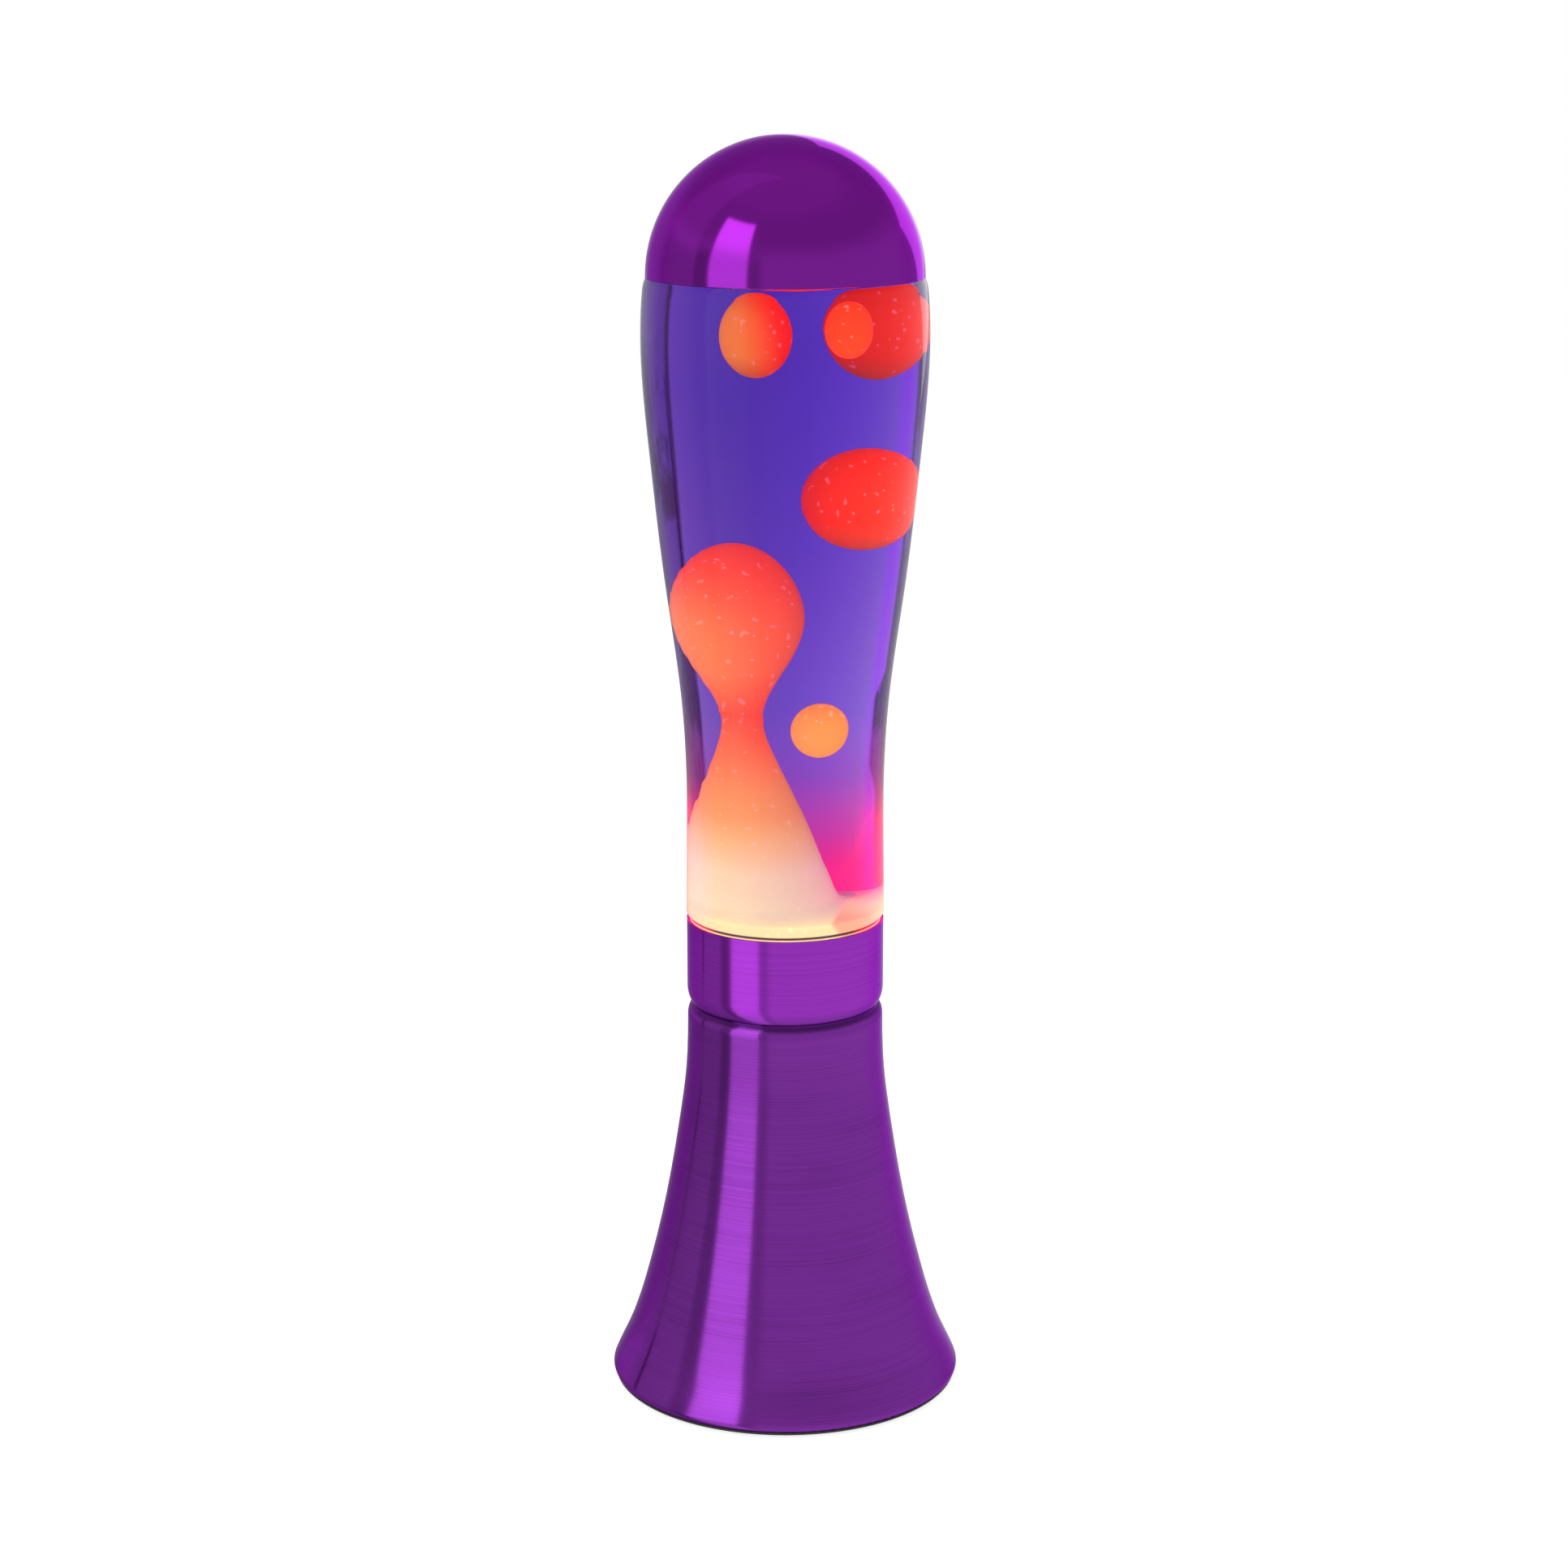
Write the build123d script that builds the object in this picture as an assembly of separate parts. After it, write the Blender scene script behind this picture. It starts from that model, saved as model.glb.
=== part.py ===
from build123d import *
import os
from math import cos, pi, sin

# Motion lamp: a spun metal base with a reflector bulb inside, a glass bottle of liquid and wax, a dome cap.
# Millimetres. The origin is on the table at the lamp's axis, +Z up, +Y to the rear, where the cable enters.

# ---- driving dimensions ----
DOME_RADIUS = 45.0
DOME_RIM_Z = 375.0  # the dome's centre and its rim: the lamp is DOME_RIM_Z + DOME_RADIUS tall
SHEET = 0.8  # spun aluminium sheet of the dome and the base
COLLAR_RADIUS = 33.0
COLLAR_TOP_Z = 162.4
GROOVE_RADIUS = 31.3
GROOVE_Z = 133.0
SKIRT_TOP_Z = 128.6
HEM_RADIUS = 59.4
HEM_Z = 1.4
HEM_LIP_WIDTH = 5.5
# the skirt's side from just above the hem to its top, as (radius, height)
SKIRT_SIDE = [(59.1, 4.2), (54.7, 13.8), (46.8, 37.5), (40.0, 67.0), (35.2, 96.0), (32.9, SKIRT_TOP_Z)]
COLLAR_FOOT_RISE = 5.6  # from the bottom of the groove to where the collar is upright

BOTTLE_FLOOR_Z = 134.7
BOTTLE_FOOT_RADIUS = 32.0
GLASS_WALL = 3.2
GLASS_FLOOR = 5.3
# the bottle's outside from above the collar to the shoulder, as (radius, height)
BOTTLE_SIDE = [(33.1, 168), (32.75, 200), (34.3, 237), (39.3, 275), (44.1, 318), (46.6, 350), (45.95, 371)]
SEAT_Z = 163.2  # the foot widens to the side's radius just above the collar
SHOULDER_Z = DOME_RIM_Z - 0.05
SHOULDER_RADIUS = 44.95
LEDGE_RADIUS = 42.6
NECK_Z = 391.0
NECK_RADIUS = 12.4
NECK_BORE = 9.3
FINISH_Z = 400.0  # the underside of the glass lip that the crown cap grips
FINISH_RADIUS = 13.3
MOUTH_Z = 405.2
LIQUID_LEVEL_Z = 381.0
WAX_POOL_Z = 171.0
HEAT_RING_RADIUS = 24.5
HEAT_RING_WIRE = 1.6

CROWN_SHEET = 0.4
CROWN_FLUTES = 21
CROWN_RADIUS = 15.9
LINER_SLEEVE_RADIUS = 17.0
LINER_SLEEVE_LOW_Z = 388.0
LINER_SLEEVE_HIGH_Z = 400.0
LINER_WALL = 1.4
LINER_WEB_Z = 392.0
LINER_RIBS = 6
RIB_MIDDLE = 28.0
RIB_LENGTH = 21.0
RIB_HEIGHT = 2.8

FOOT_PROUD = 0.5  # how far the feet lift the closing plate off the table
PLATE_TOP_Z = 2.2
PLATE_RADIUS = 58.4
FOOT_CIRCLE = 47.0
FOOT_RADIUS = 5.0
FOOT_RECESS_Z = 1.2
SCREW_CIRCLE = 48.5
SCREW_RADIUS = 1.45
SCREW_CLEARANCE = 0.1
SCREW_HEAD_RADIUS = 2.6
SCREW_HEAD_HEIGHT = 1.4
SCREW_SLOT = 0.6
LUG_WIDTH = 9.0
LUG_THICKNESS = 1.5
VENT_SLOTS = 12
VENT_CIRCLE = 31.0
INNER_VENT_CIRCLE = 12.0
VENT_LENGTH = 12.0
VENT_WIDTH = 2.6

GROMMET_Z = 14.0
GROMMET_BORE = 3.1
GROMMET_BARREL = 4.9
GROMMET_FLANGE = 6.8
GROMMET_INNER_Y = 48.6
GROMMET_OUTER_Y = 58.6
REAR_CUT = (40.0, 65.0)  # y values between which a cutter passes right through the rear of the skirt

BRACKET_SHEET = 1.2
BRACKET_WIDTH = 20.0
BRACKET_TOP_Z = 25.2
BRACKET_HALF_SPAN = 16.0
BRACKET_FOOT_X = 22.5
HOLDER_RADIUS = 13.5
HOLDER_TOP_Z = 66.0
HOLDER_FLOOR_Z = 48.0
NIPPLE_RADIUS = 5.0
NIPPLE_BORE = 3.6
NUT_HEIGHT = 3.4
TERMINAL_Z = 38.0
TERMINAL_RADIUS = 1.5

BULB_TIP_Z = 50.0
BULB_FACE_Z = 117.0
BULB_RADIUS = 19.5
BULB_NECK_RADIUS = 8.2
BULB_GLASS = 0.7
CAP_CREST_RADIUS = 6.95
CAP_ROOT_RADIUS = 6.4
THREAD_PITCH = 2.82
THREAD_TURNS = 4
SHELL_BORE = 7.1
FILAMENT_Z = BULB_TIP_Z + 50.0
FILAMENT_SPREAD = 7.0
WIRE_RADIUS = 0.3

# wax: name, centre (x, y), widest z, radius, height above and below the widest point
BLOBS = {
    "wax_blob_upper_left": ((-7.4, -8.0), 357.6, 9.2, 12.4, 12.6),
    "wax_blob_upper_right": ((20.0, 12.0), 359.0, 11.8, 11.4, 16.2),
    "wax_blob_upper_small": ((17.6, -22.0), 360.4, 7.2, 8.6, 8.6),
    "wax_blob_middle": ((19.0, 3.0), 305.5, 16.0, 16.6, 16.6),
    "wax_blob_lower": ((9.4, -12.0), 230.4, 8.1, 9.2, 9.2),
}
TOP_WAX = ((3.0, -6.0), 374.0, 9.0, 2.6, 3.4)  # wax caught under the bottle's shoulder
ROUNDNESS = 0.5523  # how far a Bezier's handles reach, as a share of the radius, to draw a quarter ellipse
# the rising column before it leans, from inside the pool to the top of its bulb, as (radius, height)
STALK_SIDE = [(26, 156), (14.4, 193), (7.2, 219), (5.0, 234), (9.8, 247.5), (16, 269), (0, 291.5)]
COLUMN_X = -7.5
COLUMN_Y = 3.0
COLUMN_LEAN = -2.3  # degrees about +Y, seen from the front as a lean to the left going up


# ---- helpers ----
def spun(outline):
    """The solid that a closed outline, drawn as (radius, height), sweeps about the lamp's axis."""
    return revolve(Plane.XZ * make_face(outline), Axis.Z)


def turned(*points):
    """A turned solid with straight-sided section, from its (radius, height) corners."""
    return spun(Polyline(*points, close=True))


def ring(inner, outer, low, high):
    return turned((inner, low), (outer, low), (outer, high), (inner, high))


def rod(x, y, low, high, radius):
    """An upright cylinder between two heights."""
    return Pos(x, y, (low + high) / 2) * Cylinder(radius, high - low)


def cross_rod(z, low, high, radius):
    """A cylinder along Y at x = 0, between two y values."""
    return Pos(0, (low + high) / 2, z) * Rot(90, 0, 0) * Cylinder(radius, high - low)


def around(count, part, first=0.0):
    """Copies of a part spaced evenly about the lamp's axis."""
    return [Rot(0, 0, first + 360 * n / count) * part for n in range(count)]


# ---- base ----
def skirt_curve(shift):
    """The flared side of the skirt from just above the hem to its top, moved outwards by shift."""
    return Spline(*[(r + shift, z) for r, z in SKIRT_SIDE], tangents=[(-0.4, 1), (0, 1)])


def base_shell():
    """Skirt, groove and collar spun from one sheet, with a lip turned in at the hem."""
    lip_end, collar_foot_z = HEM_RADIUS - HEM_LIP_WIDTH, GROOVE_Z + COLLAR_FOOT_RISE

    def face_of_sheet(inset):
        """One face of the sheet, from the lip's edge up to the collar's."""
        side = skirt_curve(-inset)
        groove = GROOVE_RADIUS - inset
        knuckle = TangentArc(side @ 1, (groove, GROOVE_Z - 0.2), tangent=(0, 1))
        valley = Line(knuckle @ 1, (groove, GROOVE_Z + 0.2))
        collar_foot = (COLLAR_RADIUS - inset, collar_foot_z)
        cup = TangentArc(collar_foot, valley @ 1, tangent=(0, -1))
        collar = Line(collar_foot, (COLLAR_RADIUS - inset, COLLAR_TOP_Z))
        hem = TangentArc(side @ 0, (HEM_RADIUS - 1.3 - 0.4 * inset, HEM_Z + inset), tangent=(0.4, -1))
        lip = Line(hem @ 1, (lip_end, HEM_Z + inset))
        return lip + hem + side + knuckle + valley + cup + collar

    edges = Line((lip_end, HEM_Z), (lip_end, HEM_Z + SHEET))
    edges += Line((COLLAR_RADIUS, COLLAR_TOP_Z), (COLLAR_RADIUS - SHEET, COLLAR_TOP_Z))
    shell = spun(face_of_sheet(0) + face_of_sheet(SHEET) + edges)
    return shell - cross_rod(GROMMET_Z, *REAR_CUT, GROMMET_BARREL + 0.1)


def cable_grommet():
    """Bushing for the cable at the rear of the skirt: its flanges follow the flare of the sheet."""

    def saddle(radius, inner, outer):
        low, high = skirt_curve(inner), skirt_curve(outer)
        band = spun(low + high + Line(low @ 0, high @ 0) + Line(low @ 1, high @ 1))
        return band & cross_rod(GROMMET_Z, *REAR_CUT, radius)

    barrel = cross_rod(GROMMET_Z, GROMMET_INNER_Y, GROMMET_OUTER_Y, GROMMET_BARREL)
    inside = saddle(GROMMET_FLANGE, -SHEET - 1.9, -SHEET - 0.12)
    outside = saddle(GROMMET_FLANGE, 0.05, 1.5)
    return barrel + inside + outside - cross_rod(GROMMET_Z, *REAR_CUT, GROMMET_BORE)


def plate_screw(x, y, top):
    """A countersunk machine screw driven up through the closing plate, with a straight slot."""
    head_z = FOOT_PROUD + 0.1
    head = Cone(SCREW_HEAD_RADIUS, SCREW_RADIUS, SCREW_HEAD_HEIGHT)
    head = Pos(x, y, head_z + SCREW_HEAD_HEIGHT / 2) * head
    slot = Pos(x, y, head_z + 0.25) * Box(2.4 * SCREW_HEAD_RADIUS, SCREW_SLOT, 0.5)
    return head + rod(x, y, head_z + 1.3, top, SCREW_RADIUS) - slot


def screw_seat(x, y):
    """The countersunk hole in the closing plate for one screw."""
    depth, hole = SCREW_HEAD_HEIGHT + 0.2, SCREW_RADIUS + SCREW_CLEARANCE
    sink = Pos(x, y, FOOT_PROUD + depth / 2) * Cone(SCREW_HEAD_RADIUS + 0.3, hole, depth)
    return sink + rod(x, y, FOOT_PROUD, PLATE_TOP_Z, hole)


def lug_places():
    reach = SCREW_CIRCLE * cos(pi / 4)
    return [(reach * i, reach * j) for i in (-1, 1) for j in (-1, 1)]


def foot_places():
    return [(FOOT_CIRCLE * cos(n * pi / 2), FOOT_CIRCLE * sin(n * pi / 2)) for n in range(4)]


def base_plate():
    """Moulded closing plate: its rim shows under the hem, its raised disc fits inside the lip."""
    disc_radius = HEM_RADIUS - HEM_LIP_WIDTH - 0.4
    plate = turned(
        (0, FOOT_PROUD), (PLATE_RADIUS - 0.3, FOOT_PROUD), (PLATE_RADIUS, FOOT_PROUD + 0.3),
        (PLATE_RADIUS, HEM_Z), (disc_radius, HEM_Z), (disc_radius, PLATE_TOP_Z), (0, PLATE_TOP_Z),
    )
    vent = Pos(0, 0, FOOT_PROUD) * extrude(SlotOverall(VENT_LENGTH, VENT_WIDTH, rotation=90), PLATE_TOP_Z)
    plate -= around(VENT_SLOTS, Pos(0, VENT_CIRCLE, 0) * vent, 180 / VENT_SLOTS)
    plate -= around(VENT_SLOTS // 2, Pos(0, INNER_VENT_CIRCLE, 0) * vent)
    for x, y in lug_places() + [(-BRACKET_FOOT_X, 0), (BRACKET_FOOT_X, 0)]:
        plate -= screw_seat(x, y)
    for x, y in foot_places():
        plate -= rod(x, y, FOOT_PROUD, FOOT_RECESS_Z, FOOT_RADIUS + 0.05)
    return plate


def base_plate_screws():
    top = PLATE_TOP_Z + LUG_THICKNESS + 1.6
    return [plate_screw(x, y, top) for x, y in lug_places()]


def skirt_lugs():
    """Steel tabs welded on the lip inside the hem, tapped for the plate's screws."""
    near, far = SCREW_CIRCLE - 5.5, HEM_RADIUS - 2.4
    tab = Box(far - near, LUG_WIDTH, LUG_THICKNESS)
    tab = Pos((far + near) / 2, 0, PLATE_TOP_Z + LUG_THICKNESS / 2) * tab
    tab = fillet(tab.edges().filter_by(Axis.Z), 2)
    tapped = rod(SCREW_CIRCLE, 0, PLATE_TOP_Z, PLATE_TOP_Z + LUG_THICKNESS, SCREW_RADIUS + 0.03)
    return around(4, tab - tapped, 45)


def rubber_feet():
    feet = []
    for x, y in foot_places():
        foot = rod(x, y, 0, FOOT_RECESS_Z, FOOT_RADIUS)
        feet.append(chamfer(foot.edges().sort_by(Axis.Z)[0], 0.3))
    return feet


# ---- lampholder ----
def holder_bracket():
    """A pressed steel bridge that carries the lampholder above the closing plate."""
    foot_end = BRACKET_FOOT_X + 5
    low, high = PLATE_TOP_Z, BRACKET_TOP_Z
    inner_x = BRACKET_HALF_SPAN - BRACKET_SHEET
    under = high - BRACKET_SHEET
    section = Polyline(
        (-foot_end, low), (-inner_x, low), (-inner_x, under), (inner_x, under), (inner_x, low),
        (foot_end, low), (foot_end, low + BRACKET_SHEET), (BRACKET_HALF_SPAN, low + BRACKET_SHEET),
        (BRACKET_HALF_SPAN, high), (-BRACKET_HALF_SPAN, high), (-BRACKET_HALF_SPAN, low + BRACKET_SHEET),
        (-foot_end, low + BRACKET_SHEET), close=True,
    )
    strip = extrude(Plane.XZ * make_face(section), BRACKET_WIDTH / 2, both=True)
    bends = [e for e in strip.edges().filter_by(Axis.Y) if abs(e.center().Z - high) < 0.01]
    strip = fillet(bends, 2)
    strip -= rod(0, 0, under - 1, high + 1, NIPPLE_RADIUS + 0.2)
    for x in (-BRACKET_FOOT_X, BRACKET_FOOT_X):
        strip -= rod(x, 0, low, low + BRACKET_SHEET, SCREW_RADIUS + 0.03)
    return strip


def holder_bracket_screws():
    return [plate_screw(x, 0, PLATE_TOP_Z + BRACKET_SHEET + 1.4) for x in (-BRACKET_FOOT_X, BRACKET_FOOT_X)]


def holder_nipple():
    """Hollow threaded tube that clamps the lampholder to the bracket."""
    low, high = BRACKET_TOP_Z - 6.2, BRACKET_TOP_Z + 7
    return ring(NIPPLE_BORE, NIPPLE_RADIUS, low, high)


def holder_nut():
    high = BRACKET_TOP_Z - BRACKET_SHEET
    low = high - NUT_HEIGHT
    nut = extrude(Pos(0, 0, low) * RegularPolygon(7, 6, major_radius=False), NUT_HEIGHT)
    return nut - rod(0, 0, low, high, NIPPLE_RADIUS + 0.03)


def holder_body():
    """Plastic candle lampholder, bored for the screw shell above and for the nipple below."""
    base = BRACKET_TOP_Z
    shell_radius = SHELL_BORE + 0.6
    body = turned(
        (0, base), (9.5, base), (10, base + 0.5), (10, 31), (HOLDER_RADIUS, 35),
        (HOLDER_RADIUS, HOLDER_TOP_Z - 1), (HOLDER_RADIUS - 1, HOLDER_TOP_Z), (9.4, HOLDER_TOP_Z),
        (9.4, HOLDER_TOP_Z - 1.5), (shell_radius, HOLDER_TOP_Z - 1.5), (shell_radius, HOLDER_FLOOR_Z),
        (0, HOLDER_FLOOR_Z),
    )
    body -= rod(0, 0, base, base + 7.5, NIPPLE_RADIUS + 0.03)
    body -= rod(0, 0, base + 7.5, HOLDER_FLOOR_Z - 5, 7.5)
    for side in (-1, 1):
        body -= Pos(0, side * 5, HOLDER_FLOOR_Z - 2.5) * Cylinder(1.2, 5)
        ends = sorted((7 * side, 15 * side))
        body -= cross_rod(TERMINAL_Z, *ends, TERMINAL_RADIUS + 0.05)
    return body


def holder_terminal_screws():
    screws = []
    for side in (-1, 1):
        near, far = 8.2 * side, 12.8 * side
        screw = cross_rod(TERMINAL_Z, *sorted((near, far)), TERMINAL_RADIUS)
        screws.append(screw - Pos(0, far, TERMINAL_Z) * Box(SCREW_SLOT, 1.2, 4))
    return screws


def holder_thread_shell():
    """The holder's screw shell: a drawn cup with a flared mouth and an open floor."""
    low, high = HOLDER_FLOOR_Z + 3, HOLDER_TOP_Z - 1.5
    bore, wall = SHELL_BORE, 0.5
    return turned(
        (bore - 2, low), (bore + wall, low), (bore + wall, high), (bore + 1.9, high),
        (bore + 1.9, high + wall), (bore + 0.3, high + wall), (bore, high), (bore, low + wall),
        (bore - 2, low + wall),
    )


def holder_centre_contact():
    """A sprung tongue just under the bulb's tip."""
    floor, tongue = HOLDER_FLOOR_Z, BULB_TIP_Z - 0.6
    leaf = 0.5
    section = Polyline(
        (-6, floor), (-3, floor), (-1.4, tongue), (3, tongue), (3, tongue + leaf), (-1.7, tongue + leaf),
        (-3.3, floor + leaf), (-6, floor + leaf), close=True,
    )
    return extrude(Plane.XZ * make_face(section), 2, both=True)


# ---- reflector bulb ----
def bulb_outline(inset):
    """Half section of the blown envelope from its neck to its face, moved inwards by inset."""
    neck = BULB_NECK_RADIUS - inset
    belly = BULB_RADIUS - inset
    top = BULB_FACE_Z - inset
    start = (neck, BULB_TIP_Z + 21)
    cone = Spline(
        (neck, BULB_TIP_Z + 25), (neck + 5.6, BULB_TIP_Z + 39), (belly, top - 13),
        tangents=[(0, 1), (0, 1)],
    )
    rim = TangentArc((belly, top - 13), (belly - 5.5, top - 4), tangent=(0, 1))
    face = Spline(rim @ 1, (0, top), tangents=[rim % 1, (-1, 0)])
    foot = Line(start, (neck, BULB_TIP_Z + 25))
    return foot + cone + rim + face + Line((0, top), (0, start[1])) + Line((0, start[1]), start)


def bulb_glass():
    return spun(bulb_outline(0)) - spun(bulb_outline(BULB_GLASS))


def bulb_cap():
    """Screw cap: rolled thread ridges, then a plain skirt that flares to the glass neck."""
    low = BULB_TIP_Z + 4
    starts = [low + THREAD_PITCH * n for n in range(THREAD_TURNS)]

    def ridge(z):
        crest = (CAP_CREST_RADIUS, z + THREAD_PITCH / 2)
        return ThreePointArc((CAP_ROOT_RADIUS, z), crest, (CAP_ROOT_RADIUS, z + THREAD_PITCH))

    thread = Curve() + [ridge(z) for z in starts]
    skirt_z, cap_top = HOLDER_TOP_Z + 1, BULB_TIP_Z + 22.5
    inner = CAP_ROOT_RADIUS - 0.4
    outline = thread + Polyline(
        (CAP_ROOT_RADIUS, starts[-1] + THREAD_PITCH), (CAP_ROOT_RADIUS, skirt_z),
        (BULB_NECK_RADIUS + 0.35, skirt_z + 2),
        (BULB_NECK_RADIUS + 0.35, cap_top), (BULB_NECK_RADIUS + 0.05, cap_top),
        (BULB_NECK_RADIUS + 0.05, skirt_z + 2.2), (inner, skirt_z + 0.2), (inner, low),
        (CAP_ROOT_RADIUS, low),
    )
    return spun(outline)


def bulb_insulator():
    """Black glass between the screw cap and the tip."""
    low = BULB_TIP_Z + 1.3
    return turned((0, low), (2.9, low), (CAP_ROOT_RADIUS - 0.4, BULB_TIP_Z + 4),
                  (CAP_ROOT_RADIUS - 0.45, BULB_TIP_Z + 5), (0, BULB_TIP_Z + 5))


def bulb_contact():
    """The solder tip, a low dome."""
    low, high, radius = BULB_TIP_Z, BULB_TIP_Z + 1.25, 2.3
    dome = TangentArc((0, low), (radius, high - 0.4), tangent=(1, 0))
    return spun(dome + Polyline((radius, high - 0.4), (radius, high), (0, high), (0, low)))


def bulb_stem():
    """Glass mount inside the neck, pinched at its top round the lead wires."""
    low = BULB_TIP_Z + 22
    return turned((0, low), (BULB_NECK_RADIUS - 1.2, low), (BULB_NECK_RADIUS - 1.2, low + 1.2),
                  (2.6, low + 4), (2.2, low + 14), (1.2, low + 16), (0, low + 16))


def bulb_lead_wires():
    """Two leads that rise from the stem and spread to the filament's ends."""
    low, spread = BULB_TIP_Z + 38.05, FILAMENT_SPREAD
    wires = []
    for side in (-1, 1):
        path = Polyline((side * 0.8, 0, low), (side * 0.8, 0, low + 2), (side * spread, 0, FILAMENT_Z))
        start = Plane(origin=path @ 0, z_dir=(0, 0, 1))
        wires.append(sweep(start * Circle(WIRE_RADIUS), path=path, transition=Transition.RIGHT))
    return wires


def bulb_filament():
    """The coiled filament as the thin curved rod that it fills, hung between the leads."""
    high, spread = FILAMENT_Z + WIRE_RADIUS + 0.05, FILAMENT_SPREAD
    path = ThreePointArc((-spread, 0, high), (0, 2.5, high), (spread, 0, high))
    start = Plane(origin=path @ 0, z_dir=path % 0)
    return sweep(start * Circle(WIRE_RADIUS), path=path)


# ---- bottle ----
def bottle_side(inset):
    """The bottle's side from above the collar to its shoulder, moved inwards by inset."""
    return Spline(*[(r - inset, z) for r, z in BOTTLE_SIDE], tangents=[(0, 1), (-0.1, 1)])


def bottle_envelope():
    """The outside of the bottle, filled: foot, waist, shoulder ledge, neck and lip."""
    side = bottle_side(0)
    foot_z, foot = BOTTLE_FLOOR_Z, BOTTLE_FOOT_RADIUS
    corner = TangentArc((foot - 3, foot_z), (foot, foot_z + 3), tangent=(1, 0))
    waist = BOTTLE_SIDE[0][0]
    step = Polyline((foot, foot_z + 3), (foot, SEAT_Z), (waist, SEAT_Z + 1.4), side @ 0)
    punt = ThreePointArc((0, foot_z + 1.6), (13, foot_z + 1.1), (foot - 6, foot_z))
    bottom = Line((foot - 6, foot_z), (foot - 3, foot_z))
    edge = TangentArc(side @ 1, (SHOULDER_RADIUS, SHOULDER_Z), tangent=side % 1)
    ledge = Line(edge @ 1, (LEDGE_RADIUS, SHOULDER_Z))
    shoulder = Spline(ledge @ 1, (29, 379.5), (NECK_RADIUS, NECK_Z), tangents=[(-1, 0.15), (0, 1)])
    neck = Polyline(
        shoulder @ 1, (NECK_RADIUS, FINISH_Z - 1), (FINISH_RADIUS, FINISH_Z), (FINISH_RADIUS, MOUTH_Z - 1),
        (FINISH_RADIUS - 1, MOUTH_Z), (0, MOUTH_Z), (0, foot_z + 1.6),
    )
    return spun(punt + bottom + corner + step + side + edge + ledge + shoulder + neck)


def bottle_cavity():
    """The space inside the bottle, up to its mouth."""
    side = bottle_side(GLASS_WALL)
    floor, waist = BOTTLE_FLOOR_Z + GLASS_FLOOR, (side @ 0).X
    corner = TangentArc((waist - 3, floor), (waist, floor + 3), tangent=(1, 0))
    wall = Line(corner @ 1, side @ 0)
    under = SHOULDER_Z - GLASS_WALL
    edge = TangentArc(side @ 1, (40.6, under), tangent=side % 1)
    shoulder = Spline(edge @ 1, (27, 376.2), (NECK_BORE, 388), tangents=[(-1, 0.15), (0, 1)])
    rest = Polyline(shoulder @ 1, (NECK_BORE, MOUTH_Z), (0, MOUTH_Z), (0, floor), (waist - 3, floor))
    return spun(corner + wall + side + edge + shoulder + rest)


def glass_bottle():
    return bottle_envelope() - bottle_cavity()


def blob(place, widest_z, radius, above, below):
    """An egg of wax: a quarter ellipse above its widest height and another below, turned about its axis."""
    x, y = place

    def quarter(rise):
        ends = (radius, widest_z), (0, widest_z + rise)
        return Bezier(
            ends[0], (radius, widest_z + ROUNDNESS * rise), (ROUNDNESS * radius, ends[1][1]), ends[1]
        )

    side = quarter(above) + quarter(-below)
    return Pos(x, y, 0) * spun(side + Line((0, widest_z + above), (0, widest_z - below)))


def heat_ring():
    """Metal ring in the wax, just off the glass floor, that carries the bulb's heat into it."""
    height = BOTTLE_FLOOR_Z + GLASS_FLOOR + HEAT_RING_WIRE + 0.3
    return Pos(0, 0, height) * Torus(HEAT_RING_RADIUS, HEAT_RING_WIRE)


def wax_column():
    """The wax still joined to the pool: pool, cone, pinched neck and rising bulb."""
    cavity = bottle_cavity()
    pool = cavity & Pos(0, 0, WAX_POOL_Z / 2) * Cylinder(60, WAX_POOL_Z)
    side = Spline(*STALK_SIDE, tangents=[(-0.6, 1), (-1, 0)])
    stalk_foot = (0, STALK_SIDE[0][1])
    stalk = spun(side + Line(side @ 1, stalk_foot) + Line(stalk_foot, side @ 0))
    stalk = Pos(COLUMN_X, COLUMN_Y, WAX_POOL_Z) * Rot(0, COLUMN_LEAN, 0) * Pos(0, 0, -WAX_POOL_Z) * stalk
    return pool + (stalk & cavity) - heat_ring()


def liquid(wax):
    """Everything in the bottle up to the liquid's level that isn't wax."""
    filled = bottle_cavity() & Pos(0, 0, LIQUID_LEVEL_Z / 2) * Cylinder(60, LIQUID_LEVEL_Z)
    filled -= Pos(0, 0, WAX_POOL_Z / 2) * Cylinder(60, WAX_POOL_Z)
    for piece in wax:
        filled -= piece
    return filled


def crown_cap():
    """Fluted tin closure crimped over the bottle's lip."""
    top = MOUTH_Z + 0.45 + CROWN_SHEET
    tin = CROWN_SHEET
    cap = turned(
        (0, top), (12.4, top), (14.2, top - 1.4), (CROWN_RADIUS, top - 5.2), (CROWN_RADIUS - tin, top - 5.3),
        (14.2 - tin, top - 1.6), (12.3, top - tin), (0, top - tin),
    )
    flute = rod(CROWN_RADIUS + 0.6, 0, top - 6, top - 2.2, 1.1)
    return cap - around(CROWN_FLUTES, flute)


def crown_seal():
    return rod(0, 0, MOUTH_Z, MOUTH_Z + 0.4, 12.2)


# ---- dome ----
def dome_cap():
    """Half a sphere spun from sheet, open below."""
    outer, inner, z = DOME_RADIUS, DOME_RADIUS - SHEET, DOME_RIM_Z
    skin = CenterArc((0, z), outer, 0, 90)
    back = CenterArc((0, z), inner, 0, 90)
    return spun(skin + back + Line((inner, z), (outer, z)) + Line((0, z + inner), (0, z + outer)))


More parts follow.
